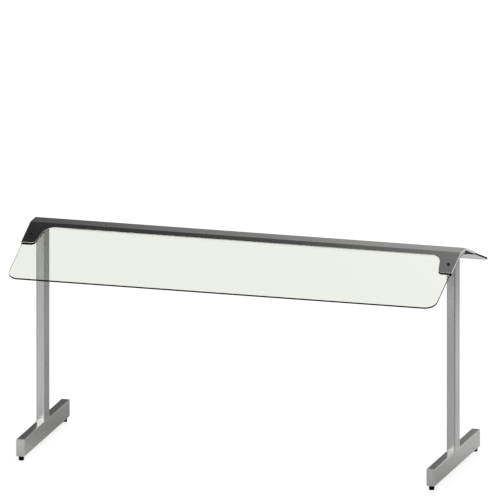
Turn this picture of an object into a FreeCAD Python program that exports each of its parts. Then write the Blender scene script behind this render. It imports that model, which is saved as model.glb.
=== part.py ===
"""Free-standing double-sided glass food shield, about 1.5 m long.

Frame: millimetres, +Z up, origin on the floor under the middle of the ridge.
X runs along the ridge, -Y is the front. The two sides and the two ends are mirror images.
"""
import FreeCAD
import Part
import math
import os

os.makedirs("parts", exist_ok=True)
V = FreeCAD.Vector

# ---- overall sizes -------------------------------------------------------------------------
CANOPY_LENGTH = 1506.0        # along the ridge, end face to end face
RIDGE_HEIGHT = 769.0          # floor to the top of the ridge cover
POST_SPACING = 1436.0         # between the two post centre lines
FOOT_LENGTH = 555.0           # front to back, end plates included
SLOPE_DEG = 20.0              # each glass panel falls away from the ridge by this much
GLASS_REACH = 333.0           # down the slope, from the fold to the bottom edge of the glass

# ---- rectangular steel tube of the legs -----------------------------------------------------
TUBE_NARROW = 30.0
TUBE_WIDE = 60.0
TUBE_WALL = 2.0
TUBE_CORNER = 3.0             # outside corner radius
END_PLATE = 2.0               # closing plate welded in line with each end of a foot

# ---- ridge beam and folded cover ------------------------------------------------------------
BEAM_HEIGHT = 15.0
BEAM_WALL = 1.5
BEAM_CORNER = 2.0
BEAM_END_PLATE = 1.5
COVER_SHEET = 1.5
STRIP_WIDTH = 62.0            # flat top of the cover, fold to fold
FOLD_RADIUS = 2.0             # outside radius of the fold
BAND_REACH = 24.5             # down the slope, from the fold to the edge between the wings
WING_REACH = 123.0            # down the slope, from the fold to the wing's lower edge
WING_TOP_WIDTH = 64.5         # at the band's edge, before the fillet
WING_LOW_WIDTH = 46.5         # at the wing's lower edge, before the corner is rounded
WING_FILLET = 40.0
WING_CORNER = 15.0
WING_TIP = 1.5                # radius of the outer lower corner
LIP_DEPTH = 8.0               # each end of the cover is folded down by this much, sheet included
LIP_RADIUS = 1.0              # outside radius of that fold

# ---- glass, rubber and clamps ---------------------------------------------------------------
GLASS_THICK = 6.0
GLASS_CORNER = 38.0
GLASS_INSET = 4.0             # each end of the glass stops short of the cover's end
GLASS_TOP = 5.0               # down the slope, from the fold to the glass's upper edge
ARRIS = 0.5                   # ground edge of the glass
GASKET_THICK = 0.5
GASKET_INSET = 1.0            # the rubber stops short of the metal's edges
GASKET_END = 3.0              # and this far short of the cover's ends, inside the lip
CLAMP_THICK = 1.5
CLAMP_TOP = 6.0               # down the slope, from the fold to the clamp's upper edge
CLAMP_PAST = 5.0              # the clamp and its rubber reach this much further down than the wing

# ---- clamp screw, M6 button head, one through each wing -------------------------------------
SCREW_REACH = 75.0            # down the slope from the fold
SCREW_INSET = 23.0            # in from the cover's end
SCREW_R = 3.0
SCREW_HEAD_R = 5.25
SCREW_HEAD_HIGH = 3.3
SCREW_HEAD_DOME = 1.6
SCREW_LENGTH = 16.0
SCREW_SOCKET = 4.0            # across flats
SCREW_SOCKET_DEEP = 2.0
SCREW_HOLE_R = 3.2
SLEEVE_R = 5.8
SLEEVE_BORE_R = 3.2
GLASS_HOLE_R = 6.0
RUBBER_HOLE_R = 6.2
NUT_FLATS = 10.0
NUT_HIGH = 5.0
THREAD_CLEAR = 0.05           # radial, between a thread's outside and its nut

# ---- levelling feet, M8 ----------------------------------------------------------------------
PAD_R = 10.0                  # at the top
PAD_LOW_R = 8.6               # at the floor, before the edge is rounded
PAD_HIGH = 15.0               # floor to the underside of the foot tube
PAD_ROUND = 1.2
PAD_INSET = 12.0              # pad axis, in from the end of the foot
SEAT_GAP = 0.3                # pad's top to the foot's underside when screwed right in
STUD_R = 4.0
STUD_TOP = 42.0               # height of the stud's end above the floor
STUD_CHAMFER = 0.8
HEAD_R = 6.0
HEAD_HIGH = 5.0
HEAD_CLEAR = 0.3              # round and under the stud's head, in the pad's pocket
LEVEL_NUT_FLATS = 13.0
LEVEL_NUT_HIGH = 6.5
LEVEL_HOLE_R = 4.5

# ---- derived ----------------------------------------------------------------------------------
HALF_LENGTH = CANOPY_LENGTH / 2.0
FOOT_TOP = PAD_HIGH + TUBE_WIDE
BEAM_TOP = RIDGE_HEIGHT - COVER_SHEET
BEAM_BOTTOM = BEAM_TOP - BEAM_HEIGHT
RUBBER_UP = -COVER_SHEET                       # heights below the cover's top face, across the slope
GLASS_UP = RUBBER_UP - GASKET_THICK
PAD_UP = GLASS_UP - GLASS_THICK
CLAMP_UP = PAD_UP - GASKET_THICK
CLAMP_LOW = CLAMP_UP - CLAMP_THICK


def rounded_face(corners):
    """Flat face in the XY plane from (x, y, radius) corners, each corner rounded by its radius."""
    count = len(corners)
    starts = []
    ends = []
    middles = []
    for i in range(count):
        x, y, r = corners[i]
        here = V(x, y, 0)
        before = V(corners[i - 1][0], corners[i - 1][1], 0)
        after = V(corners[(i + 1) % count][0], corners[(i + 1) % count][1], 0)
        if r <= 0:
            starts.append(here)
            ends.append(here)
            middles.append(None)
            continue
        back = (before - here).normalize()
        ahead = (after - here).normalize()
        half = back.getAngle(ahead) / 2.0
        run = r / math.tan(half)
        centre = here + (back + ahead).normalize() * (r / math.sin(half))
        starts.append(here + back * run)
        ends.append(here + ahead * run)
        middles.append(centre + (here - centre).normalize() * r)
    edges = []
    for i in range(count):
        if middles[i] is not None:
            edges.append(Part.Arc(starts[i], middles[i], ends[i]).toShape())
        following = starts[(i + 1) % count]
        if (following - ends[i]).Length > 1e-6:
            edges.append(Part.makeLine(ends[i], following))
    return Part.Face(Part.Wire(edges))


def rectangle(width, depth, radius):
    """Corners of a centred rectangle with equal radii."""
    x = width / 2.0
    y = depth / 2.0
    return [(-x, -y, radius), (x, -y, radius), (x, y, radius), (-x, y, radius)]


def slab(corners, low, thick):
    """A rounded outline raised from height low by thick."""
    face = rounded_face(corners)
    face.translate(V(0, 0, low))
    return face.extrude(V(0, 0, thick))


def box_tube(width, depth, wall, corner, length):
    """Rectangular tube standing on the origin, along +Z."""
    outer = slab(rectangle(width, depth, corner), 0, length)
    bore = slab(rectangle(width - 2 * wall, depth - 2 * wall, corner - wall), -1, length + 2)
    return outer.cut(bore)


def hexagon(flats):
    """Corners of a hexagon with the given distance across its flats."""
    r = flats / math.sqrt(3.0)
    return [(r * math.cos(math.radians(60 * k)), r * math.sin(math.radians(60 * k)), 0) for k in range(6)]


def hex_nut(flats, high, bore_r, low):
    """Chamfered hexagon nut, its lower face at height low."""
    body = slab(hexagon(flats), low, high)
    rim = flats / math.sqrt(3.0)
    drop = (rim - flats / 2.0) * 0.6
    turned = Part.makeCylinder(rim, high, V(0, 0, low))
    turned = turned.makeChamfer(drop, [e for e in turned.Edges if abs(e.Length - 2 * math.pi * rim) < 1e-3])
    return body.common(turned).cut(Part.makeCylinder(bore_r, high + 2, V(0, 0, low - 1)))


def on_slope(shape, side):
    """Move a shape drawn flat (x along the ridge, y down the slope, z outwards) on to one side."""
    placed = shape.copy()
    placed.rotate(V(0, 0, 0), V(1, 0, 0), -SLOPE_DEG)
    placed.translate(V(0, STRIP_WIDTH / 2.0, RIDGE_HEIGHT))
    if side < 0:
        placed = placed.mirror(V(0, 0, 0), V(0, 1, 0))
    return placed


def wing_width(reach):
    """Width of a wing at a distance down the slope, along its straight inner edge."""
    fall = (WING_TOP_WIDTH - WING_LOW_WIDTH) / (WING_REACH - BAND_REACH)
    return WING_TOP_WIDTH - fall * (reach - BAND_REACH)


def flange_outline(top, inset, end_inset):
    """Band and both wings of one side, pulled in from the free edges by inset and from the ends by end_inset."""
    end = HALF_LENGTH - end_inset
    band = BAND_REACH - inset
    low = WING_REACH - inset
    inner_top = HALF_LENGTH - wing_width(band) + inset
    inner_low = HALF_LENGTH - wing_width(low) + inset
    right = [
        (end, top, 0),
        (end, low, WING_TIP),
        (inner_low, low, WING_CORNER - inset),
        (inner_top, band, WING_FILLET + inset),
    ]
    left = [(-x, y, r) for x, y, r in reversed(right)]
    return right + left


def wing_outline(end, top, inset, end_inset):
    """One wing on its own, for the clamp and its rubber."""
    low = WING_REACH + CLAMP_PAST - inset
    high = top + inset
    outline = [
        (HALF_LENGTH - end_inset, high, WING_TIP),
        (HALF_LENGTH - end_inset, low, WING_TIP),
        (HALF_LENGTH - wing_width(low) + inset, low, WING_CORNER - inset),
        (HALF_LENGTH - wing_width(high) + inset, high, WING_TIP),
    ]
    return [(end * x, y, r) for x, y, r in outline]


def drill(shape, radius, ends):
    """Bore the clamp screw's hole, square to the slope, at the given ends."""
    for end in ends:
        centre = V(end * (HALF_LENGTH - SCREW_INSET), SCREW_REACH, -40)
        shape = shape.cut(Part.makeCylinder(radius, 80, centre))
    return shape


def at_screws(shape):
    """The same small part at all four clamp screws, as separate solids in one group."""
    placed = []
    for side in (-1, 1):
        for end in (-1, 1):
            one = shape.copy()
            one.translate(V(end * (HALF_LENGTH - SCREW_INSET), SCREW_REACH, 0))
            placed.append(on_slope(one, side))
    return Part.makeCompound(placed)


def export(shape, name):
    shape.exportStep("parts/" + name + ".step")


# ---- legs -------------------------------------------------------------------------------------
FOOT_TUBE_LENGTH = FOOT_LENGTH - 2 * END_PLATE
PAD_Y = FOOT_LENGTH / 2.0 - PAD_INSET

foot_tube = box_tube(TUBE_NARROW, TUBE_WIDE, TUBE_WALL, TUBE_CORNER, FOOT_TUBE_LENGTH)
foot_tube.rotate(V(0, 0, 0), V(1, 0, 0), 90)
foot_tube.translate(V(0, FOOT_TUBE_LENGTH / 2.0, PAD_HIGH + TUBE_WIDE / 2.0))
for y in (-PAD_Y, PAD_Y):
    foot_tube = foot_tube.cut(Part.makeCylinder(LEVEL_HOLE_R, 3 * TUBE_WALL, V(0, y, PAD_HIGH - TUBE_WALL)))

foot_end = slab(rectangle(TUBE_NARROW, TUBE_WIDE, TUBE_CORNER), 0, END_PLATE)
foot_end.rotate(V(0, 0, 0), V(1, 0, 0), 90)
foot_end.translate(V(0, -FOOT_TUBE_LENGTH / 2.0, PAD_HIGH + TUBE_WIDE / 2.0))

post = box_tube(TUBE_NARROW, TUBE_WIDE, TUBE_WALL, TUBE_CORNER, BEAM_BOTTOM - FOOT_TOP)
post.translate(V(0, 0, FOOT_TOP))

level_nut = hex_nut(LEVEL_NUT_FLATS, LEVEL_NUT_HIGH, STUD_R + THREAD_CLEAR, PAD_HIGH + TUBE_WALL)

# ---- levelling foot: a pad that stays still on the floor while its captive stud turns -----------
POCKET_LOW = PAD_HIGH - SEAT_GAP - HEAD_HIGH - 2 * HEAD_CLEAR
pad_top = PAD_HIGH - SEAT_GAP
pad = Part.makeCone(PAD_LOW_R, PAD_R, pad_top)
pad = pad.makeFillet(PAD_ROUND, [e for e in pad.Edges if e.BoundBox.ZMax < 1e-6])
pad = pad.cut(Part.makeCylinder(HEAD_R + HEAD_CLEAR, PAD_HIGH, V(0, 0, POCKET_LOW)))

stud = Part.makeCylinder(STUD_R, STUD_TOP - POCKET_LOW - HEAD_CLEAR, V(0, 0, POCKET_LOW + HEAD_CLEAR))
stud = stud.makeChamfer(STUD_CHAMFER, [e for e in stud.Edges if e.BoundBox.ZMin > STUD_TOP - 1e-6])
stud = stud.fuse(slab(hexagon(HEAD_R * math.sqrt(3.0)), POCKET_LOW + HEAD_CLEAR, HEAD_HIGH)).removeSplitter()

level_nuts = []
for end, end_name in ((-1, "left"), (1, "right")):
    x = end * POST_SPACING / 2.0
    side_foot = foot_tube.copy()
    side_foot.translate(V(x, 0, 0))
    export(side_foot, "foot_tube_" + end_name)
    side_post = post.copy()
    side_post.translate(V(x, 0, 0))
    export(side_post, "post_tube_" + end_name)
    for side, side_name in ((-1, "front"), (1, "rear")):
        plate = foot_end.copy()
        if side > 0:
            plate.rotate(V(0, 0, 0), V(0, 0, 1), 180)
        plate.translate(V(x, 0, 0))
        export(plate, "foot_end_plate_" + side_name + "_" + end_name)
        where = V(x, side * PAD_Y, 0)
        one_pad = pad.copy()
        one_pad.translate(where)
        export(one_pad, "level_pad_" + side_name + "_" + end_name)
        one_stud = stud.copy()
        one_stud.translate(where)
        export(one_stud, "level_stud_" + side_name + "_" + end_name)
        one_nut = level_nut.copy()
        one_nut.translate(where)
        level_nuts.append(one_nut)
export(Part.makeCompound(level_nuts), "level_nuts")

# ---- ridge beam -------------------------------------------------------------------------------
BEAM_TUBE_LENGTH = CANOPY_LENGTH - 2 * (COVER_SHEET + BEAM_END_PLATE)
beam = box_tube(BEAM_HEIGHT, TUBE_WIDE, BEAM_WALL, BEAM_CORNER, BEAM_TUBE_LENGTH)
beam.rotate(V(0, 0, 0), V(0, 1, 0), 90)
beam.translate(V(-BEAM_TUBE_LENGTH / 2.0, 0, BEAM_BOTTOM + BEAM_HEIGHT / 2.0))
export(beam, "ridge_beam")

beam_end = slab(rectangle(BEAM_HEIGHT, TUBE_WIDE, BEAM_CORNER), 0, BEAM_END_PLATE)
beam_end.rotate(V(0, 0, 0), V(0, 1, 0), 90)
beam_end.translate(V(BEAM_TUBE_LENGTH / 2.0, 0, BEAM_BOTTOM + BEAM_HEIGHT / 2.0))
export(beam_end, "beam_end_plate_right")
export(beam_end.mirror(V(0, 0, 0), V(1, 0, 0)), "beam_end_plate_left")

# ---- folded cover: flat strip, a narrow band on each side, a wing at each end of each band, -------
# ---- and a lip folded down along both ends ---------------------------------------------------------
cover = Part.makeBox(CANOPY_LENGTH, STRIP_WIDTH, COVER_SHEET, V(-HALF_LENGTH, -STRIP_WIDTH / 2.0, BEAM_TOP))
flange = drill(slab(flange_outline(0, 0, 0), -COVER_SHEET, COVER_SHEET), SCREW_HOLE_R, (-1, 1))
for x in (-HALF_LENGTH, HALF_LENGTH - COVER_SHEET):
    strip_lip = V(x, -STRIP_WIDTH / 2.0, RIDGE_HEIGHT - LIP_DEPTH)
    cover = cover.fuse(Part.makeBox(COVER_SHEET, STRIP_WIDTH, LIP_DEPTH, strip_lip))
    flange = flange.fuse(Part.makeBox(COVER_SHEET, WING_REACH - WING_TIP, LIP_DEPTH, V(x, 0, -LIP_DEPTH)))
for side in (-1, 1):
    cover = cover.fuse(on_slope(flange, side))
cover = cover.removeSplitter()
folds = []
for edge in cover.Edges:
    box = edge.BoundBox
    if box.XLength > CANOPY_LENGTH - 1 and box.ZMin > RIDGE_HEIGHT - 1e-3:
        folds.append(edge)
cover = cover.makeFillet(FOLD_RADIUS, folds)
slope = math.radians(SLOPE_DEG)
lip_folds = []
for edge in cover.Edges:
    middle = edge.BoundBox.Center
    beyond = max(0.0, abs(middle.y) - STRIP_WIDTH / 2.0)
    below_top = (RIDGE_HEIGHT - middle.z) * math.cos(slope) - beyond * math.sin(slope)
    at_end = edge.BoundBox.XLength < 1e-3 and abs(middle.x) > HALF_LENGTH - 1e-3
    if at_end and below_top < LIP_RADIUS / 2.0:
        lip_folds.append(edge)
cover = cover.makeFillet(LIP_RADIUS, lip_folds)
export(cover, "canopy_cover")

# ---- glass, its rubber, and the clamp behind each wing ------------------------------------------
glass_end = HALF_LENGTH - GLASS_INSET
glass_outline = [
    (glass_end, GLASS_TOP, WING_TIP),
    (glass_end, GLASS_REACH, GLASS_CORNER),
    (-glass_end, GLASS_REACH, GLASS_CORNER),
    (-glass_end, GLASS_TOP, WING_TIP),
]
glass = slab(glass_outline, PAD_UP, GLASS_THICK)
glass = glass.makeChamfer(ARRIS, [e for e in glass.Edges if e.BoundBox.ZLength < 1e-6])
glass = drill(glass, GLASS_HOLE_R, (-1, 1))

rubber = slab(flange_outline(GLASS_TOP, GASKET_INSET, GASKET_END), GLASS_UP, GASKET_THICK)
rubber = drill(rubber, RUBBER_HOLE_R, (-1, 1))

for side, side_name in ((-1, "front"), (1, "rear")):
    export(on_slope(glass, side), "glass_panel_" + side_name)
    export(on_slope(rubber, side), "band_gasket_" + side_name)
    for end, end_name in ((-1, "left"), (1, "right")):
        clamp = slab(wing_outline(end, CLAMP_TOP, 0, 0), CLAMP_LOW, CLAMP_THICK)
        clamp = drill(clamp, SCREW_HOLE_R, (end,))
        export(on_slope(clamp, side), "clamp_plate_" + side_name + "_" + end_name)
        cushion = slab(wing_outline(end, CLAMP_TOP, GASKET_INSET, GASKET_END), CLAMP_UP, GASKET_THICK)
        cushion = drill(cushion, RUBBER_HOLE_R, (end,))
        export(on_slope(cushion, side), "clamp_gasket_" + side_name + "_" + end_name)

# ---- clamp screws, sleeves and nuts ---------------------------------------------------------------
head = Part.makeCylinder(SCREW_HEAD_R, SCREW_HEAD_HIGH)
head = head.makeFillet(SCREW_HEAD_DOME, [e for e in head.Edges if e.BoundBox.ZMin > SCREW_HEAD_HIGH - 1e-6])
socket = slab(hexagon(SCREW_SOCKET), SCREW_HEAD_HIGH - SCREW_SOCKET_DEEP, SCREW_SOCKET_DEEP + 1)
screw = head.cut(socket).fuse(Part.makeCylinder(SCREW_R, SCREW_LENGTH, V(0, 0, -SCREW_LENGTH)))
screw = screw.removeSplitter()
export(at_screws(screw), "clamp_screws")

sleeve = Part.makeCylinder(SLEEVE_R, RUBBER_UP - CLAMP_UP, V(0, 0, CLAMP_UP))
sleeve = sleeve.cut(Part.makeCylinder(SLEEVE_BORE_R, 20, V(0, 0, CLAMP_UP - 5)))
export(at_screws(sleeve), "clamp_sleeves")

export(at_screws(hex_nut(NUT_FLATS, NUT_HIGH, SCREW_R + THREAD_CLEAR, CLAMP_LOW - NUT_HIGH)), "clamp_nuts")
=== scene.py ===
"""Looks of a free-standing, double-sided glass food shield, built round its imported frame.

Metres, +Z up, origin on the floor under the middle of the ridge. X runs along the ridge and -Y is the front.
"""

import logging
import math
from dataclasses import dataclass
from enum import Enum
from typing import Any

import bmesh
import bpy
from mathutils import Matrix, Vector


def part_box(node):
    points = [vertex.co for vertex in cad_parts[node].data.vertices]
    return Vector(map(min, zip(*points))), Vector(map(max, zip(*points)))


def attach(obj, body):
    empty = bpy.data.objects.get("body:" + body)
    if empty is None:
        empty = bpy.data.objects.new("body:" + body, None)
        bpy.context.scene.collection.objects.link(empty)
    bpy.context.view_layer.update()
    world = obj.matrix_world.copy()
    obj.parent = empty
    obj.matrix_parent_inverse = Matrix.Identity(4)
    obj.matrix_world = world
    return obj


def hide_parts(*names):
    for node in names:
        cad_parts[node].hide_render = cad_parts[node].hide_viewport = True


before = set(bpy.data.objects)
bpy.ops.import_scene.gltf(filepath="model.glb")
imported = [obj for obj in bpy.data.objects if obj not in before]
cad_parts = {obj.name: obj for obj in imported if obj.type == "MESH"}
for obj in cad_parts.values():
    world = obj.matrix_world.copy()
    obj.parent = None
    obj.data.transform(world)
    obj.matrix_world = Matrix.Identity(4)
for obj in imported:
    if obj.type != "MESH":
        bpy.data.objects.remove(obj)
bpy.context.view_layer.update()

LOG = logging.getLogger("food_shield")
MM = 0.001  # sizes named _mm are in millimetres
SLOPE_DEG = 20.0  # of both glass panels
NOISE_LOW = 0.3  # nearly all of a noise texture lies between these two
NOISE_HIGH = 0.7
Colour = tuple[float, float, float, float]

# The node kind and settings used most, spelled once.
MATH = "ShaderNodeMath"
VECTOR_MATH = "ShaderNodeVectorMath"
ADD = {"operation": "ADD"}
SUBTRACT = {"operation": "SUBTRACT"}
MULTIPLY = {"operation": "MULTIPLY"}
DIVIDE = {"operation": "DIVIDE"}
MULTIPLY_ADD = {"operation": "MULTIPLY_ADD"}
MAXIMUM = {"operation": "MAXIMUM"}
ABSOLUTE = {"operation": "ABSOLUTE"}
BLEND_COLOURS = {"data_type": "RGBA"}


class Grain(Enum):
    """The way a brushed or rolled surface's lines run, as a unit vector in the frame."""

    ALONG_X = (1.0, 0.0, 0.0)
    ALONG_Y = (0.0, 1.0, 0.0)
    ALONG_Z = (0.0, 0.0, 1.0)


class Side(Enum):
    """The two slopes of the canopy. The value is the sign of Y."""

    FRONT = -1.0
    REAR = 1.0


class PaintedHighlight(Enum):
    """Where a steel part gets a painted highlight: a lighter colour than its brushed faces, standing in for
    shine.
    """

    NOWHERE = "nowhere"
    CORNERS = "corners"
    ENDS = "ends"


def linear(hex_colour: str) -> Colour:
    """Turn an sRGB hex colour to linear.

    Args:
        hex_colour: Six hex digits, with or without a leading #.

    Returns:
        Red, green, blue and alpha, linear.
    """
    digits = hex_colour.lstrip("#")
    channels = [int(digits[i:i + 2], 16) / 255.0 for i in (0, 2, 4)]
    red, green, blue = [c / 12.92 if c <= 0.04045 else ((c + 0.055) / 1.055) ** 2.4 for c in channels]
    return (red, green, blue, 1.0)


def add_node(
    tree: bpy.types.NodeTree,
    kind: str,
    settings: dict[str, Any] | None = None,
    inputs: dict[str | int, Any] | None = None,
) -> bpy.types.Node:
    """Add a node with its settings and its inputs.

    Args:
        tree: The node tree to add to.
        kind: The node's type name.
        settings: Node attributes, such as operation.
        inputs: By input name or number, a plain value or the socket that feeds it.

    Returns:
        The new node.
    """
    node = tree.nodes.new(kind)
    for name, value in (settings or {}).items():
        setattr(node, name, value)
    for name, value in (inputs or {}).items():
        if isinstance(value, bpy.types.NodeSocket):
            tree.links.new(value, node.inputs[name])
        else:
            node.inputs[name].default_value = value
    return node


def new_material(name: str) -> tuple[bpy.types.Material, bpy.types.NodeTree, bpy.types.Node]:
    """Make an empty node material.

    Args:
        name: The material's name.

    Returns:
        The material, its tree and its output node.
    """
    material = bpy.data.materials.new(name)
    material.use_nodes = True
    material.node_tree.nodes.clear()
    output = add_node(material.node_tree, "ShaderNodeOutputMaterial")
    return material, material.node_tree, output


# ---- finishes ---------------------------------------------------------------------------------


@dataclass(frozen=True)
class BrushedSteel:
    """Stainless steel, belt-brushed one way: soft streaks along the grain and a satin, uneven shine."""

    name: str
    grain: Grain
    painted_highlight: PaintedHighlight = PaintedHighlight.NOWHERE
    bright: str = "#ADADAB"
    dull: str = "#A6A7A5"
    # colour of the painted highlight on corners or ends
    highlight_colour: str = "#C4C4C0"
    roughness: float = 0.26
    roughness_swing: float = 0.03
    streak_across_mm: float = 3.0
    streak_along_mm: float = 400.0
    mottle_mm: float = 12.0
    mottle_share: float = 0.15
    scratch_depth_mm: float = 0.006
    scratch_strength: float = 0.5
    corner_full: float = 0.96
    corner_none: float = 0.995
    end_none: float = 0.1
    end_full: float = 0.4

    def build(self) -> bpy.types.Material:
        """Build the material.

        The belt's own scratches are about 0.1 mm apart, too fine to show, so the streaks are drawn
        a few millimetres apart, as coarse as they need to be to show at all.

        Returns:
            The new material.
        """
        material, tree, output = new_material(self.name)
        place = add_node(tree, "ShaderNodeTexCoord").outputs["Object"]
        periods = [
            (self.streak_along_mm if part else self.streak_across_mm) * MM for part in self.grain.value
        ]
        stretched = add_node(
            tree,
            "ShaderNodeMapping",
            inputs={"Scale": [1.0 / period for period in periods], "Vector": place},
        )
        streaks = add_node(
            tree,
            "ShaderNodeTexNoise",
            inputs={"Scale": 1.0, "Detail": 3.0, "Roughness": 0.6, "Vector": stretched.outputs[0]},
        )
        mottle = add_node(
            tree,
            "ShaderNodeTexNoise",
            inputs={"Scale": 1.0 / (self.mottle_mm * MM), "Detail": 2.0, "Vector": place},
        )
        blend = add_node(
            tree,
            MATH,
            settings=MULTIPLY_ADD,
            inputs={0: streaks.outputs["Fac"], 1: 1.0 - self.mottle_share, 2: 0.0},
        )
        share = add_node(
            tree,
            MATH,
            settings=MULTIPLY_ADD,
            inputs={0: mottle.outputs["Fac"], 1: self.mottle_share, 2: blend.outputs[0]},
        )
        even = add_node(
            tree,
            "ShaderNodeMapRange",
            inputs={"From Min": NOISE_LOW, "From Max": NOISE_HIGH, "Value": share.outputs[0]},
        )
        colour = add_node(
            tree,
            "ShaderNodeMix",
            settings=BLEND_COLOURS,
            inputs={0: even.outputs[0], 6: linear(self.dull), 7: linear(self.bright)},
        )
        tone = colour.outputs[2]
        # Painted highlight: a lighter colour mixed in on corners or ends, standing in for the shine along
        # them.
        if self.painted_highlight is not PaintedHighlight.NOWHERE:
            tone = add_node(
                tree,
                "ShaderNodeMix",
                settings=BLEND_COLOURS,
                inputs={0: self._painted_highlight_share(tree), 6: tone, 7: linear(self.highlight_colour)},
            ).outputs[2]
        rough = add_node(
            tree,
            "ShaderNodeMapRange",
            inputs={
                "To Min": self.roughness + self.roughness_swing,
                "To Max": self.roughness - self.roughness_swing,
                "Value": even.outputs[0],
            },
        )
        bump = add_node(
            tree,
            "ShaderNodeBump",
            inputs={
                "Strength": self.scratch_strength,
                "Distance": self.scratch_depth_mm * MM,
                "Height": share.outputs[0],
            },
        )
        shader = add_node(
            tree,
            "ShaderNodeBsdfPrincipled",
            inputs={
                "Metallic": 1.0,
                "Base Color": tone,
                "Roughness": rough.outputs[0],
                "Normal": bump.outputs[0],
            },
        )
        tree.links.new(shader.outputs[0], output.inputs[0])
        return material

    def _painted_highlight_share(self, tree: bpy.types.NodeTree) -> bpy.types.NodeSocket:
        """A socket that is 1 where the metal gets a painted highlight, told from which way the surface
        faces.

        A corner faces along none of the three axes. An end of the cover faces along X.

        Args:
            tree: The tree to add the nodes to.

        Returns:
            The socket.
        """
        facing = add_node(
            tree,
            VECTOR_MATH,
            settings=ABSOLUTE,
            inputs={0: add_node(tree, "ShaderNodeNewGeometry").outputs["True Normal"]},
        )
        split = add_node(tree, "ShaderNodeSeparateXYZ", inputs={0: facing.outputs[0]})
        if self.painted_highlight is PaintedHighlight.ENDS:
            share = add_node(
                tree,
                "ShaderNodeMapRange",
                inputs={"From Min": self.end_none, "From Max": self.end_full, "Value": split.outputs[0]},
            )
            return share.outputs[0]
        flat = add_node(tree, MATH, settings=MAXIMUM, inputs={0: split.outputs[0], 1: split.outputs[1]})
        flattest = add_node(tree, MATH, settings=MAXIMUM, inputs={0: flat.outputs[0], 1: split.outputs[2]})
        share = add_node(
            tree,
            "ShaderNodeMapRange",
            inputs={
                "From Min": self.corner_full,
                "From Max": self.corner_none,
                "To Min": 1.0,
                "To Max": 0.0,
                "Value": flattest.outputs[0],
            },
        )
        return share.outputs[0]


@dataclass(frozen=True)
class GrainedCoat:
    """A plain surface with a fine grain: powder coat, zinc plate, moulded plastic, rubber or nylon."""

    name: str
    light: str
    dark: str
    roughness: float
    grain_mm: float
    relief_mm: float
    metallic: float = 0.0
    shine: float = 0.5
    roughness_swing: float = 0.06
    relief_strength: float = 0.4

    def build(self) -> bpy.types.Material:
        """Build the material.

        Returns:
            The new material.
        """
        material, tree, output = new_material(self.name)
        place = add_node(tree, "ShaderNodeTexCoord").outputs["Object"]
        grain = add_node(
            tree,
            "ShaderNodeTexNoise",
            inputs={"Scale": 1.0 / (self.grain_mm * MM), "Detail": 2.0, "Roughness": 0.55, "Vector": place},
        )
        colour = add_node(
            tree,
            "ShaderNodeMix",
            settings=BLEND_COLOURS,
            inputs={0: grain.outputs["Fac"], 6: linear(self.dark), 7: linear(self.light)},
        )
        rough = add_node(
            tree,
            "ShaderNodeMapRange",
            inputs={
                "To Min": self.roughness - self.roughness_swing,
                "To Max": self.roughness + self.roughness_swing,
                "Value": grain.outputs["Fac"],
            },
        )
        bump = add_node(
            tree,
            "ShaderNodeBump",
            inputs={
                "Strength": self.relief_strength,
                "Distance": self.relief_mm * MM,
                "Height": grain.outputs["Fac"],
            },
        )
        shader = add_node(
            tree,
            "ShaderNodeBsdfPrincipled",
            inputs={
                "Metallic": self.metallic,
                "Specular IOR Level": self.shine,
                "Base Color": colour.outputs[2],
                "Roughness": rough.outputs[0],
                "Normal": bump.outputs[0],
            },
        )
        tree.links.new(shader.outputs[0], output.inputs[0])
        return material


@dataclass(frozen=True)
class ScrewHeadPaintedSocket:
    """A screw head: a black centre, painted shade standing in for a hex socket, in a patchy grey steel rim.
    """

    name: str
    # Painted shade: the black centre stands in for a hex socket in shade.
    flat: str = "#0C0C0D"
    rim: str = "#4C4C4A"
    roughness: float = 0.36
    shine: float = 0.3
    grain_mm: float = 0.5
    faintest_rim: float = 0.7
    socket_centre: float = 0.99
    steel_rim: float = 0.90

    def build(self) -> bpy.types.Material:
        """Build the material.

        Returns:
            The new material.
        """
        material, tree, output = new_material(self.name)
        facing = add_node(
            tree,
            VECTOR_MATH,
            settings=ABSOLUTE,
            inputs={0: add_node(tree, "ShaderNodeNewGeometry").outputs["True Normal"]},
        )
        slope = math.radians(SLOPE_DEG)
        square_on = add_node(
            tree,
            VECTOR_MATH,
            settings={"operation": "DOT_PRODUCT"},
            inputs={0: facing.outputs[0], 1: (0.0, math.sin(slope), math.cos(slope))},
        )
        # The steel rim is wherever the head does not face square on; the centre that does keeps the painted
        # socket shade.
        steel_rim = add_node(
            tree,
            "ShaderNodeMapRange",
            inputs={"From Min": self.socket_centre, "From Max": self.steel_rim, "Value": square_on.outputs["Value"]},
        )
        grain = add_node(
            tree,
            "ShaderNodeTexNoise",
            inputs={
                "Scale": 1.0 / (self.grain_mm * MM),
                "Detail": 2.0,
                "Vector": add_node(tree, "ShaderNodeTexCoord").outputs["Object"],
            },
        )
        patchy = add_node(
            tree,
            "ShaderNodeMapRange",
            inputs={
                "From Min": NOISE_LOW,
                "From Max": NOISE_HIGH,
                "To Min": self.faintest_rim,
                "Value": grain.outputs["Fac"],
            },
        )
        share = add_node(tree, MATH, settings=MULTIPLY, inputs={0: steel_rim.outputs[0], 1: patchy.outputs[0]})
        colour = add_node(
            tree,
            "ShaderNodeMix",
            settings=BLEND_COLOURS,
            inputs={0: share.outputs[0], 6: linear(self.flat), 7: linear(self.rim)},
        )
        shader = add_node(
            tree,
            "ShaderNodeBsdfPrincipled",
            inputs={
                "Roughness": self.roughness,
                "Specular IOR Level": self.shine,
                "Base Color": colour.outputs[2],
                "Metallic": share.outputs[0],
            },
        )
        tree.links.new(shader.outputs[0], output.inputs[0])
        return material


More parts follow.
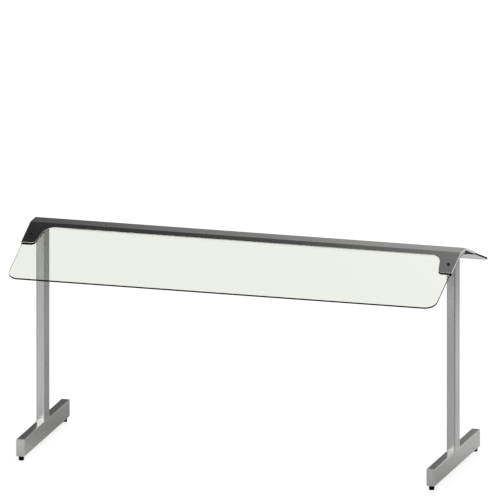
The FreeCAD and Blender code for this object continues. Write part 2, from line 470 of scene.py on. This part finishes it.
@dataclass(frozen=True)
class FloatGlass:
    """Clear toughened float glass: nearly colourless through its faces; its ground edges painted almost
    black, their own green deepened by painted shade.
    """

    name: str
    side: Side
    face: str = "#EDF0E9"
    # near-black edges: the glass's own green plus painted shade
    edge: str = "#050807"
    roughness: float = 0.0
    edge_roughness: float = 0.35
    shine: float = 0.5
    edge_shine: float = 0.02
    refraction: float = 1.5
    edge_below: float = 0.96
    face_above: float = 0.995
    shadow_tint: str = "#E9EFE9"

    def build(self) -> bpy.types.Material:
        """Build the material.

        The edges are painted near black: partly the sheet's own green, where light crosses it the long way,
        and partly painted shade. They are told from the faces by their normals, which lie in the plane of
        the sheet.

        Returns:
            The new material.
        """
        material, tree, output = new_material(self.name)
        slope = math.radians(SLOPE_DEG)
        outwards = (0.0, self.side.value * math.sin(slope), math.cos(slope))
        normal = add_node(tree, "ShaderNodeNewGeometry").outputs["True Normal"]
        facing = add_node(
            tree,
            VECTOR_MATH,
            settings={"operation": "DOT_PRODUCT"},
            inputs={0: normal, 1: outwards},
        )
        size = add_node(tree, MATH, settings=ABSOLUTE, inputs={0: facing.outputs["Value"]})
        face_share = add_node(
            tree,
            "ShaderNodeMapRange",
            inputs={"From Min": self.edge_below, "From Max": self.face_above, "Value": size.outputs[0]},
        )
        # Painted shade: the edges get the near-black colour, little shine and no transmission.
        colour = add_node(
            tree,
            "ShaderNodeMix",
            settings=BLEND_COLOURS,
            inputs={0: face_share.outputs[0], 6: linear(self.edge), 7: linear(self.face)},
        )
        rough = add_node(
            tree,
            "ShaderNodeMapRange",
            inputs={
                "To Min": self.edge_roughness,
                "To Max": self.roughness,
                "Value": face_share.outputs[0],
            },
        )
        gloss = add_node(
            tree,
            "ShaderNodeMapRange",
            inputs={"To Min": self.edge_shine, "To Max": self.shine, "Value": face_share.outputs[0]},
        )
        glass = add_node(
            tree,
            "ShaderNodeBsdfPrincipled",
            inputs={
                "IOR": self.refraction,
                "Base Color": colour.outputs[2],
                "Roughness": rough.outputs[0],
                "Transmission Weight": face_share.outputs[0],
                "Specular IOR Level": gloss.outputs[0],
            },
        )
        let_through = add_node(
            tree,
            "ShaderNodeBsdfTransparent",
            inputs={"Color": linear(self.shadow_tint)},
        )
        shadow = add_node(tree, "ShaderNodeLightPath").outputs["Is Shadow Ray"]
        mixed = add_node(
            tree,
            "ShaderNodeMixShader",
            inputs={0: shadow, 1: glass.outputs[0], 2: let_through.outputs[0]},
        )
        tree.links.new(mixed.outputs[0], output.inputs[0])
        return material


# ---- studio -------------------------------------------------------------------------------------


@dataclass(frozen=True)
class Glow:
    """One soft patch of light on the tent: where it is, how wide it spreads, and how bright it is."""

    x: float
    y: float
    z: float
    spread: float
    strength: float


@dataclass(frozen=True)
class Softbox:
    """A soft rectangular lamp that metal and glass don't show."""

    name: str
    at: tuple[float, float, float]
    aim: tuple[float, float, float]
    width: float
    height: float
    radiance: float


@dataclass(frozen=True)
class Studio:
    """Camera, floor, background, lamps and the tent that the polished parts mirror."""

    azimuth_deg: float = 15.87
    elevation_deg: float = 14.73
    view_width: float = 1.683
    centre_right: float = 0.0064
    centre_up: float = 0.6919
    camera_distance: float = 8.0
    camera_reach: float = 200.0
    floor_half: float = 40.0
    floor_colour: str = "#E6E6E4"
    floor_lift: float = 0.70
    room_level: float = 0.45
    tent_centre: tuple[float, float, float] = (0.0, -1.6, 0.0)
    tent_half: tuple[float, float, float] = (3.2, 2.5, 2.2)
    tent_segments: int = 64
    tent_rings: int = 32
    # Seen only by glossy surfaces, on the tent: four wide ones for other views, the back row that the
    # cover, the tubes' sides and the feet's tops mirror, one above, and the front row for the fronts.
    glows: tuple[Glow, ...] = (
        Glow(3.0, -1.2, 0.8, 0.9, 0.5),
        Glow(-3.0, -1.2, 0.8, 0.9, 0.45),
        Glow(1.7, -3.4, 1.1, 0.8, 0.6),
        Glow(0.0, -2.3, 2.1, 0.8, 0.35),
        Glow(-0.8, 0.58, 0.98, 0.3, 0.141),
        Glow(-0.25, 0.62, 0.98, 0.3, 0.271),
        Glow(0.3, 0.6, 0.98, 0.3, 0.441),
        Glow(0.85, 0.55, 0.98, 0.3, 0.422),
        Glow(-1.35, 0.65, 0.3, 0.28, 0.31),
        Glow(-0.4, 0.85, 0.35, 0.28, 0.268),
        Glow(0.47, 0.85, 0.21, 0.17, 0.237),
        Glow(1.05, 0.78, 0.4, 0.28, 0.497),
        Glow(-0.45, 0.88, 0.08, 0.25, 0.419),
        Glow(1.05, 0.78, 0.08, 0.25, 0.707),
        Glow(0.75, 0.2, 1.35, 0.35, 0.271),
        Glow(-1.6, -3.4, 1.0, 0.45, 8.08),
        Glow(-0.2, -3.7, 1.0, 0.45, 5.27),
        Glow(-1.5, -3.7, 0.3, 0.5, 1.32),
        Glow(0.0, -4.0, 0.3, 0.5, 2.25),
    )
    # The same on the floor, in front of each leg and behind it.
    floor_glows: tuple[Glow, ...] = (
        Glow(-0.85, -0.7, 0.0, 0.45, 0.633),
        Glow(-1.1, -1.7, 0.0, 0.55, 0.53),
        Glow(0.62, -0.7, 0.0, 0.45, 0.384),
        Glow(0.35, -1.7, 0.0, 0.55, 0.091),
        Glow(0.1, -2.8, 0.0, 0.6, 0.203),
        Glow(-0.45, 0.75, 0.0, 0.25, 0.169),
        Glow(0.83, 0.3, 0.0, 0.25, 0.361),
        Glow(1.0, 0.75, 0.0, 0.25, 0.394),
    )
    softboxes: tuple[Softbox, ...] = (
        Softbox("overhead", (0.0, -0.3, 2.6), (0.0, 0.0, 0.0), 3.0, 2.4, 0.25),
    )

    def build(self) -> None:
        """Build the whole studio."""
        self._camera()
        self._world()
        self._floor()
        self._tent()
        for box in self.softboxes:
            self._lamp(box)
        bpy.context.scene.view_settings.view_transform = "Standard"

    def _camera(self) -> None:
        """Place the camera for a parallel view."""
        turn = math.radians(self.azimuth_deg)
        rise = math.radians(self.elevation_deg)
        right = Vector((math.cos(turn), math.sin(turn), 0.0))
        back = Vector((math.sin(turn) * math.cos(rise), -math.cos(turn) * math.cos(rise), math.sin(rise)))
        up = back.cross(right)
        data = bpy.data.cameras.new("camera")
        data.type = "ORTHO"
        data.ortho_scale = self.view_width
        data.clip_end = self.camera_reach
        camera = bpy.data.objects.new("camera", data)
        camera.location = right * self.centre_right + up * self.centre_up + back * self.camera_distance
        camera.rotation_mode = "QUATERNION"
        camera.rotation_quaternion = (-back).to_track_quat("-Z", "Y")
        bpy.context.scene.collection.objects.link(camera)
        bpy.context.scene.camera = camera

    def _seen_straight(self, tree: bpy.types.NodeTree) -> bpy.types.NodeSocket:
        """A socket that is 1 for what the camera sees straight or through glass.

        Args:
            tree: The tree to add the nodes to.

        Returns:
            The socket.
        """
        path = add_node(tree, "ShaderNodeLightPath")
        straight = add_node(
            tree,
            MATH,
            settings={"operation": "ADD", "use_clamp": True},
            inputs={0: path.outputs["Is Camera Ray"], 1: path.outputs["Is Transmission Ray"]},
        )
        return straight.outputs[0]

    def _glowing(self, tree: bpy.types.NodeTree, glows: tuple[Glow, ...]) -> bpy.types.NodeSocket:
        """Add up soft patches of light by their places in the frame.

        Args:
            tree: The tree to add the nodes to.
            glows: The patches, each a bell round its centre.

        Returns:
            The socket that holds the sum.
        """
        place = add_node(tree, "ShaderNodeTexCoord").outputs["Object"]
        summed: float | bpy.types.NodeSocket = 0.0
        for glow in glows:
            away = add_node(
                tree,
                VECTOR_MATH,
                settings={"operation": "DISTANCE"},
                inputs={0: place, 1: (glow.x, glow.y, glow.z)},
            )
            share = add_node(tree, MATH, settings=DIVIDE, inputs={0: away.outputs["Value"], 1: glow.spread})
            square = add_node(tree, MATH, MULTIPLY, {0: share.outputs[0], 1: share.outputs[0]})
            fall = add_node(tree, MATH, MULTIPLY, {0: square.outputs[0], 1: -0.5})
            bell = add_node(tree, MATH, {"operation": "EXPONENT"}, {0: fall.outputs[0]})
            added = add_node(tree, MATH, MULTIPLY_ADD, {0: bell.outputs[0], 1: glow.strength, 2: summed})
            summed = added.outputs[0]
        return summed

    def _world(self) -> None:
        """A white surround that lights the scene more softly than it looks."""
        world = bpy.data.worlds.new("studio")
        world.use_nodes = True
        tree = world.node_tree
        tree.nodes.clear()
        level = add_node(
            tree,
            "ShaderNodeMapRange",
            inputs={"To Min": self.room_level, "To Max": 1.0, "Value": self._seen_straight(tree)},
        )
        light = add_node(
            tree,
            "ShaderNodeBackground",
            inputs={"Color": (1.0, 1.0, 1.0, 1.0), "Strength": level.outputs[0]},
        )
        output = add_node(tree, "ShaderNodeOutputWorld")
        tree.links.new(light.outputs[0], output.inputs[0])
        bpy.context.scene.world = world

    def _floor(self) -> None:
        """A plain pale floor that looks white and keeps the object's shadow."""
        half = self.floor_half
        mesh = bpy.data.meshes.new("floor")
        corners = [(-half, -half, 0.0), (half, -half, 0.0), (half, half, 0.0), (-half, half, 0.0)]
        mesh.from_pydata(corners, [], [(0, 1, 2, 3)])
        floor = bpy.data.objects.new("floor", mesh)
        bpy.context.scene.collection.objects.link(floor)
        material, tree, output = new_material("pale matt floor")
        matt = add_node(tree, "ShaderNodeBsdfDiffuse", inputs={"Color": linear(self.floor_colour)})
        in_metal = add_node(
            tree,
            MATH,
            settings=MULTIPLY,
            inputs={
                0: add_node(tree, "ShaderNodeLightPath").outputs["Is Glossy Ray"],
                1: self._glowing(tree, self.floor_glows),
            },
        )
        lift = add_node(
            tree,
            MATH,
            settings=MULTIPLY_ADD,
            inputs={0: self._seen_straight(tree), 1: self.floor_lift, 2: in_metal.outputs[0]},
        )
        glow = add_node(tree, "ShaderNodeEmission", inputs={"Strength": lift.outputs[0]})
        both = add_node(tree, "ShaderNodeAddShader", inputs={0: matt.outputs[0], 1: glow.outputs[0]})
        tree.links.new(both.outputs[0], output.inputs[0])
        mesh.materials.append(material)
        material.cycles.emission_sampling = "NONE"

    def _tent(self) -> None:
        """A studio tent that only polished surfaces mirror: dark overhead, with soft patches of light."""
        shape = bmesh.new()
        bmesh.ops.create_uvsphere(
            shape, u_segments=self.tent_segments, v_segments=self.tent_rings, radius=1.0
        )
        for vertex in shape.verts:
            vertex.co = Vector(
                [c * h + m for c, h, m in zip(vertex.co, self.tent_half, self.tent_centre)]
            )
        mesh = bpy.data.meshes.new("tent")
        shape.to_mesh(mesh)
        shape.free()
        tent = bpy.data.objects.new("tent", mesh)
        bpy.context.scene.collection.objects.link(tent)
        for ray in ("camera", "diffuse", "transmission", "shadow", "volume_scatter"):
            setattr(tent, "visible_" + ray, False)
        material, tree, output = new_material("studio tent")
        level = self._glowing(tree, self.glows)
        light = add_node(tree, "ShaderNodeEmission", inputs={"Strength": level})
        tree.links.new(light.outputs[0], output.inputs[0])
        mesh.materials.append(material)
        material.cycles.emission_sampling = "NONE"

    def _lamp(self, box: Softbox) -> None:
        """Hang one softbox.

        Args:
            box: The softbox.
        """
        data = bpy.data.lights.new(box.name, "AREA")
        data.shape = "RECTANGLE"
        data.size = box.width
        data.size_y = box.height
        data.energy = box.radiance * math.pi * box.width * box.height
        lamp = bpy.data.objects.new(box.name, data)
        lamp.location = box.at
        lamp.rotation_mode = "QUATERNION"
        lamp.rotation_quaternion = (Vector(box.aim) - Vector(box.at)).to_track_quat("-Z", "Y")
        lamp.visible_camera = False
        lamp.visible_glossy = False
        lamp.visible_transmission = False
        bpy.context.scene.collection.objects.link(lamp)


# ---- pieces that follow a rule ----------------------------------------------------------------------


def new_tree(name: str, sizes: dict[str, float], with_geometry: bool) -> bpy.types.NodeTree:
    """Start a Geometry Nodes tree with named inputs for its sizes and one for its finish.

    Args:
        name: The tree's name.
        sizes: Number inputs and their defaults, in metres.
        with_geometry: Whether the tree works on the object's own mesh.

    Returns:
        The new tree, with its sockets but no nodes.
    """
    tree = bpy.data.node_groups.new(name, "GeometryNodeTree")
    if with_geometry:
        tree.interface.new_socket("Paths", in_out="INPUT", socket_type="NodeSocketGeometry")
    for label, value in sizes.items():
        socket = tree.interface.new_socket(label, in_out="INPUT", socket_type="NodeSocketFloat")
        socket.default_value = value
    tree.interface.new_socket("Place", in_out="INPUT", socket_type="NodeSocketVector")
    tree.interface.new_socket("Finish", in_out="INPUT", socket_type="NodeSocketMaterial")
    tree.interface.new_socket("Piece", in_out="OUTPUT", socket_type="NodeSocketGeometry")
    return tree


def close_tree(tree: bpy.types.NodeTree, shape: bpy.types.NodeSocket, finish: bpy.types.NodeSocket) -> None:
    """End a tree in Realize Instances and Set Material.

    Args:
        tree: The tree.
        shape: The finished shape.
        finish: The socket that holds the material.
    """
    real = add_node(tree, "GeometryNodeRealizeInstances", inputs={"Geometry": shape})
    dressed = add_node(
        tree,
        "GeometryNodeSetMaterial",
        inputs={"Geometry": real.outputs[0], "Material": finish},
    )
    add_node(tree, "NodeGroupOutput", inputs={"Piece": dressed.outputs[0]})


def bake_piece(
    name: str,
    start: bpy.types.Mesh,
    tree: bpy.types.NodeTree,
    inputs: dict[str, Any],
) -> bpy.types.Object:
    """Run a tree once and keep its result as a plain mesh at the origin.

    Args:
        name: The piece's name.
        start: The mesh that the tree starts from.
        tree: The tree.
        inputs: Values for the tree's named inputs.

    Returns:
        The finished piece, with no modifier.
    """
    source = bpy.data.objects.new(name + "_source", start)
    bpy.context.scene.collection.objects.link(source)
    modifier = source.modifiers.new("shape", "NODES")
    modifier.node_group = tree
    sockets = {item.name: item.identifier for item in tree.interface.items_tree if item.in_out == "INPUT"}
    for label, value in inputs.items():
        modifier[sockets[label]] = value
    bpy.context.view_layer.update()
    mesh = bpy.data.meshes.new_from_object(source.evaluated_get(bpy.context.evaluated_depsgraph_get()))
    mesh.name = name
    source.modifiers.remove(modifier)
    bpy.data.objects.remove(source)
    piece = bpy.data.objects.new(name, mesh)
    bpy.context.scene.collection.objects.link(piece)
    LOG.info("%s: %d faces", name, len(mesh.polygons))
    return piece


@dataclass(frozen=True)
class Welds:
    """TIG weld beads where each post meets the ridge beam. The ones at the feet are ground flush."""

    top_half_mm: float = 27.0
    radius_mm: float = 1.5
    ripple_pitch_mm: float = 1.4
    ripple_share: float = 0.10
    steps_per_ripple: float = 6.0
    around: int = 14
    end_fullness: float = 1.02
    end_sharpness: float = 14.0

    def build(self, finish: bpy.types.Material) -> None:
        """Lay every bead as one piece on the frame.

        Args:
            finish: The finish.
        """
        paths = bpy.data.meshes.new("weld_paths")
        points: list[Vector] = []
        for end in ("left", "right"):
            low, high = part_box("post_tube_" + end)
            for x in (low.x, high.x):
                for y in (-self.top_half_mm * MM, self.top_half_mm * MM):
                    points.append(Vector((x, y, high.z)))
        paths.from_pydata(points, [(i, i + 1) for i in range(0, len(points), 2)], [])
        beads = bake_piece(
            "weld_beads",
            paths,
            self._tree(),
            {
                "Radius": self.radius_mm * MM,
                "Ripple Pitch": self.ripple_pitch_mm * MM,
                "Ripple Share": self.ripple_share,
                "Finish": finish,
            },
        )
        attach(beads, "frame")

    def _tree(self) -> bpy.types.NodeTree:
        """Build the bead: a half-sunk rounded rod, rippled along its length and drawn in at both ends.

        Returns:
            The tree.
        """
        sizes = {
            "Radius": self.radius_mm * MM,
            "Ripple Pitch": self.ripple_pitch_mm * MM,
            "Ripple Share": self.ripple_share,
        }
        tree = new_tree("weld bead", sizes, True)
        given = add_node(tree, "NodeGroupInput").outputs
        spine = add_node(tree, "GeometryNodeMeshToCurve", inputs={"Mesh": given["Paths"]})
        step = add_node(tree, MATH, DIVIDE, {0: given["Ripple Pitch"], 1: self.steps_per_ripple})
        fine = add_node(
            tree,
            "GeometryNodeResampleCurve",
            settings={"mode": "LENGTH"},
            inputs={"Curve": spine.outputs[0], "Length": step.outputs[0]},
        )
        along = add_node(tree, "GeometryNodeSplineParameter").outputs
        ripples = add_node(tree, MATH, DIVIDE, {0: along["Length"], 1: given["Ripple Pitch"]})
        angle = add_node(tree, MATH, MULTIPLY, {0: ripples.outputs[0], 1: 2.0 * math.pi})
        wave = add_node(tree, MATH, {"operation": "SINE"}, {0: angle.outputs[0]})
        ripple = add_node(tree, MATH, MULTIPLY_ADD, {0: wave.outputs[0], 1: given["Ripple Share"], 2: 1.0})
        centred = add_node(tree, MATH, MULTIPLY_ADD, {0: along["Factor"], 1: 2.0, 2: -1.0})
        off_middle = add_node(tree, MATH, ABSOLUTE, {0: centred.outputs[0]})
        taper = add_node(
            tree, MATH, {"operation": "POWER"}, {0: off_middle.outputs[0], 1: self.end_sharpness}
        )
        left = add_node(tree, MATH, SUBTRACT, {0: self.end_fullness, 1: taper.outputs[0]})
        drawn_in = add_node(tree, MATH, {"operation": "SQRT"}, {0: left.outputs[0]})
        width = add_node(tree, MATH, MULTIPLY, {0: ripple.outputs[0], 1: drawn_in.outputs[0]})
        round_section = add_node(
            tree,
            "GeometryNodeCurvePrimitiveCircle",
            inputs={"Resolution": self.around, "Radius": given["Radius"]},
        )
        bead = add_node(
            tree,
            "GeometryNodeCurveToMesh",
            inputs={
                "Curve": fine.outputs[0],
                "Profile Curve": round_section.outputs[0],
                "Scale": width.outputs[0],
                "Fill Caps": True,
            },
        )
        smooth = add_node(tree, "GeometryNodeSetShadeSmooth", inputs={"Geometry": bead.outputs[0]})
        close_tree(tree, smooth.outputs[0], given["Finish"])
        return tree


@dataclass(frozen=True)
class ThreadedStud:
    """M8 coarse stud with a hexagon head held in its pad."""

    radius_mm: float = 4.0
    depth_mm: float = 0.767
    pitch_mm: float = 1.25
    chamfer_mm: float = 0.8
    head_radius_mm: float = 6.0
    head_high_mm: float = 5.0
    head_sides: int = 6
    rings_per_turn: int = 8
    around: int = 32
    crest_share: float = 0.125
    root_from: float = 0.8

    def build(self, corner: str, tree: bpy.types.NodeTree, finish: bpy.types.Material) -> None:
        """Cut one stud's thread and let the piece stand for its plain CAD solid.

        Args:
            corner: Which of the four feet, such as front_left.
            tree: The tree that method thread builds.
            finish: The finish.
        """
        node = "level_stud_" + corner
        low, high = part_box(node)
        middle = (low + high) / 2.0
        stud = bake_piece(
            "threaded_stud_" + corner,
            bpy.data.meshes.new(node + "_start"),
            tree,
            {
                "Radius": self.radius_mm * MM,
                "Thread Depth": self.depth_mm * MM,
                "Pitch": self.pitch_mm * MM,
                "Length": high.z - low.z - self.head_high_mm * MM,
                "Chamfer": self.chamfer_mm * MM,
                "Head Radius": self.head_radius_mm * MM,
                "Head Height": self.head_high_mm * MM,
                "Place": (middle.x, middle.y, low.z),
                "Finish": finish,
            },
        )
        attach(stud, "stud_" + corner)
        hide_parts(node)

    def thread(self, length: float) -> bpy.types.NodeTree:
        """Build the tree: a rod whose wall rises and falls once a pitch along a right-hand helix, on a head.

        Args:
            length: The thread's length in metres, which sets how many rings it has.

        Returns:
            The tree.
        """
        sizes = {
            "Radius": self.radius_mm * MM,
            "Thread Depth": self.depth_mm * MM,
            "Pitch": self.pitch_mm * MM,
            "Length": length,
            "Chamfer": self.chamfer_mm * MM,
            "Head Radius": self.head_radius_mm * MM,
            "Head Height": self.head_high_mm * MM,
        }
        tree = new_tree("right-hand thread", sizes, False)
        given = add_node(tree, "NodeGroupInput").outputs
        rings = round(length / (self.pitch_mm * MM)) * self.rings_per_turn
        rod = add_node(
            tree,
            "GeometryNodeMeshCylinder",
            settings={"fill_type": "NGON"},
            inputs={
                "Vertices": self.around,
                "Side Segments": rings,
                "Radius": given["Radius"],
                "Depth": given["Length"],
            },
        )
        place = add_node(tree, "GeometryNodeInputPosition")
        x, y, z = add_node(tree, "ShaderNodeSeparateXYZ", inputs={0: place.outputs[0]}).outputs
        angle = add_node(tree, MATH, {"operation": "ARCTAN2"}, {0: y, 1: x})
        turned = add_node(tree, MATH, DIVIDE, {0: angle.outputs[0], 1: 2.0 * math.pi})
        half = add_node(tree, MATH, MULTIPLY, {0: given["Length"], 1: 0.5})
        up = add_node(tree, MATH, ADD, {0: z, 1: half.outputs[0]}).outputs[0]
        threads_up = add_node(tree, MATH, DIVIDE, {0: up, 1: given["Pitch"]})
        phase = add_node(tree, MATH, SUBTRACT, {0: threads_up.outputs[0], 1: turned.outputs[0]})
        from_crest = add_node(tree, MATH, {"operation": "PINGPONG"}, {0: phase.outputs[0], 1: 0.5})
        tooth = add_node(tree, MATH, MULTIPLY, {0: from_crest.outputs[0], 1: 2.0})
        flank = add_node(
            tree,
            "ShaderNodeMapRange",
            inputs={"From Min": self.crest_share, "From Max": self.root_from, "Value": tooth.outputs[0]},
        )
        cut = add_node(tree, MATH, MULTIPLY, {0: flank.outputs[0], 1: given["Thread Depth"]})
        threaded = add_node(tree, MATH, SUBTRACT, {0: given["Radius"], 1: cut.outputs[0]})
        below_tip = add_node(tree, MATH, SUBTRACT, {0: given["Length"], 1: up})
        tip_end = add_node(tree, MATH, SUBTRACT, {0: given["Radius"], 1: given["Chamfer"]})
        tip = add_node(tree, MATH, ADD, {0: tip_end.outputs[0], 1: below_tip.outputs[0]})
        wall = add_node(tree, MATH, {"operation": "MINIMUM"}, {0: threaded.outputs[0], 1: tip.outputs[0]})
        share = add_node(tree, MATH, DIVIDE, {0: wall.outputs[0], 1: given["Radius"]}).outputs[0]
        moved = add_node(
            tree,
            "ShaderNodeCombineXYZ",
            inputs={
                0: add_node(tree, MATH, MULTIPLY, {0: x, 1: share}).outputs[0],
                1: add_node(tree, MATH, MULTIPLY, {0: y, 1: share}).outputs[0],
                2: add_node(tree, MATH, ADD, {0: up, 1: given["Head Height"]}).outputs[0],
            },
        )
        cut_rod = add_node(
            tree,
            "GeometryNodeSetPosition",
            inputs={"Geometry": rod.outputs[0], "Position": moved.outputs[0]},
        )
        head = add_node(
            tree,
            "GeometryNodeMeshCylinder",
            settings={"fill_type": "NGON"},
            inputs={
                "Vertices": self.head_sides,
                "Radius": given["Head Radius"],
                "Depth": given["Head Height"],
            },
        )
        head_half = add_node(tree, MATH, MULTIPLY, {0: given["Head Height"], 1: 0.5})
        lift = add_node(tree, "ShaderNodeCombineXYZ", inputs={2: head_half.outputs[0]})
        raised = add_node(
            tree,
            "GeometryNodeSetPosition",
            inputs={"Geometry": head.outputs[0], "Offset": lift.outputs[0]},
        )
        both = add_node(tree, "GeometryNodeJoinGeometry")
        tree.links.new(cut_rod.outputs[0], both.inputs[0])
        tree.links.new(raised.outputs[0], both.inputs[0])
        placed = add_node(
            tree,
            "GeometryNodeSetPosition",
            inputs={"Geometry": both.outputs[0], "Offset": given["Place"]},
        )
        close_tree(tree, placed.outputs[0], given["Finish"])
        return tree


# ---- sub-assemblies -------------------------------------------------------------------------------


def dress(material: bpy.types.Material, *nodes: str) -> None:
    """Give CAD nodes a finish, through their material slots.

    Args:
        material: The finish.
        nodes: Names of CAD nodes.
    """
    for node in nodes:
        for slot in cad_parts[node].material_slots:
            slot.material = material
        LOG.info("%s: %s", node, material.name)


ZINC_PLATE: dict[str, Any] = {
    "light": "#B9BBB8",
    "dark": "#9FA2A0",
    "roughness": 0.34,
    "grain_mm": 0.7,
    "relief_mm": 0.004,
    "metallic": 1.0,
}


@dataclass(frozen=True)
class Legs:
    """The two T-shaped legs of rectangular tube, with their closing plates."""

    ends: tuple[str, ...] = ("left", "right")

    def build(self) -> None:
        """Dress the tubes and plates."""
        # Belt-brushed lying down: a mottled satin face between corners that carry a painted highlight, a
        # lighter colour standing in for the shine along them.
        along_foot = BrushedSteel(
            "brushed stainless tube, grain front to back",
            Grain.ALONG_Y,
            PaintedHighlight.CORNERS,
            bright="#B8B8B6",
            dull="#9A9B99",
            streak_along_mm=40.0,
            mottle_mm=4.0,
            mottle_share=0.7,
        ).build()
        # Belt-brushed by the length: the smoothest of the tubes, with faint upright streaks.
        upright = BrushedSteel(
            "brushed stainless tube, grain upright", Grain.ALONG_Z, roughness_swing=0.012, mottle_share=0.05
        ).build()
        # Linished after welding: flat and even, with no joint to see.
        plate = BrushedSteel("brushed stainless closing plate", Grain.ALONG_Z, mottle_mm=6.0).build()
        for end in self.ends:
            dress(along_foot, "foot_tube_" + end)
            dress(upright, "post_tube_" + end)
            dress(plate, "foot_end_plate_front_" + end, "foot_end_plate_rear_" + end)
        # Left as laid: small regular ripples that catch the light.
        bead = BrushedSteel("stainless weld bead, as laid", Grain.ALONG_Y, mottle_mm=3.0).build()
        Welds().build(bead)


@dataclass(frozen=True)
class Canopy:
    """Ridge beam, folded cover, glass, rubber and clamps."""

    ends: tuple[str, ...] = ("left", "right")

    def build(self) -> None:
        """Dress every part of the canopy."""
        # The same belt-brushed stock, lying along the ridge.
        beam = BrushedSteel("brushed stainless beam", Grain.ALONG_X).build()
        dress(beam, "ridge_beam", "beam_end_plate_left", "beam_end_plate_right")
        # Satin mill sheet folded on a brake: long soft streaks, and ends with a painted highlight, a
        # near-white colour standing in for the light they mirror.
        cover = BrushedSteel(
            "satin stainless sheet, folded",
            Grain.ALONG_X,
            PaintedHighlight.ENDS,
            # near-white painted highlight on the ends
            highlight_colour="#F4F4F2",
            mottle_mm=14.0,
        ).build()
        dress(cover, "canopy_cover")
        # Sprayed and baked powder: an even black with a slight orange peel and little shine.
        plate = GrainedCoat(
            "black powder coat on plate", "#171717", "#0D0D0D", 0.6, 1.2, 0.02, shine=0.1
        ).build()
        # Cut from pressed sheet: the blackest and dullest of the blacks.
        rubber = GrainedCoat("black sheet rubber", "#111111", "#0A0A0A", 0.8, 0.8, 0.01, shine=0.1).build()
        # A dark grey steel ring round a black centre, which is painted shade standing in for a hex socket.
        screw_head = ScrewHeadPaintedSocket("black oxide on steel screw, rim worn").build()
        # Bright zinc plate: paler and more even than brushed steel, with a faint crystal grain.
        zinc = GrainedCoat("zinc-plated steel nut", **ZINC_PLATE).build()
        # Moulded nylon without pigment: milky, with a soft shine.
        nylon = GrainedCoat("natural nylon sleeve", "#E4E0D6", "#D6D2C6", 0.45, 1.0, 0.005).build()
        dress(screw_head, "clamp_screws")
        dress(zinc, "clamp_nuts", "level_nuts")
        dress(nylon, "clamp_sleeves")
        for side in Side:
            place = side.name.lower()
            dress(FloatGlass("toughened float glass, " + place, side).build(), "glass_panel_" + place)
            dress(rubber, "band_gasket_" + place)
            for end in self.ends:
                dress(plate, f"clamp_plate_{place}_{end}")
                dress(rubber, f"clamp_gasket_{place}_{end}")


@dataclass(frozen=True)
class LevellingFeet:
    """Four black pads, each on a captive threaded stud."""

    corners: tuple[str, ...] = ("front_left", "front_right", "rear_left", "rear_right")

    def build(self) -> None:
        """Dress the pads and build the studs."""
        # Moulded in a textured tool: matt black all over.
        plastic = GrainedCoat(
            "black moulded plastic pad", "#080808", "#050505", 0.65, 0.6, 0.01, shine=0.05
        ).build()
        zinc = GrainedCoat("zinc-plated steel stud", **ZINC_PLATE).build()
        stud = ThreadedStud()
        low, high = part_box("level_stud_" + self.corners[0])
        tree = stud.thread(high.z - low.z - stud.head_high_mm * MM)
        for corner in self.corners:
            dress(plastic, "level_pad_" + corner)
            dress(zinc, "level_stud_" + corner)
            stud.build(corner, tree, zinc)


def main() -> None:
    """Build the studio and every sub-assembly."""
    logging.basicConfig(level=logging.INFO, format="%(name)s %(message)s")
    Studio().build()
    Legs().build()
    Canopy().build()
    LevellingFeet().build()


if __name__ == "__main__":
    main()
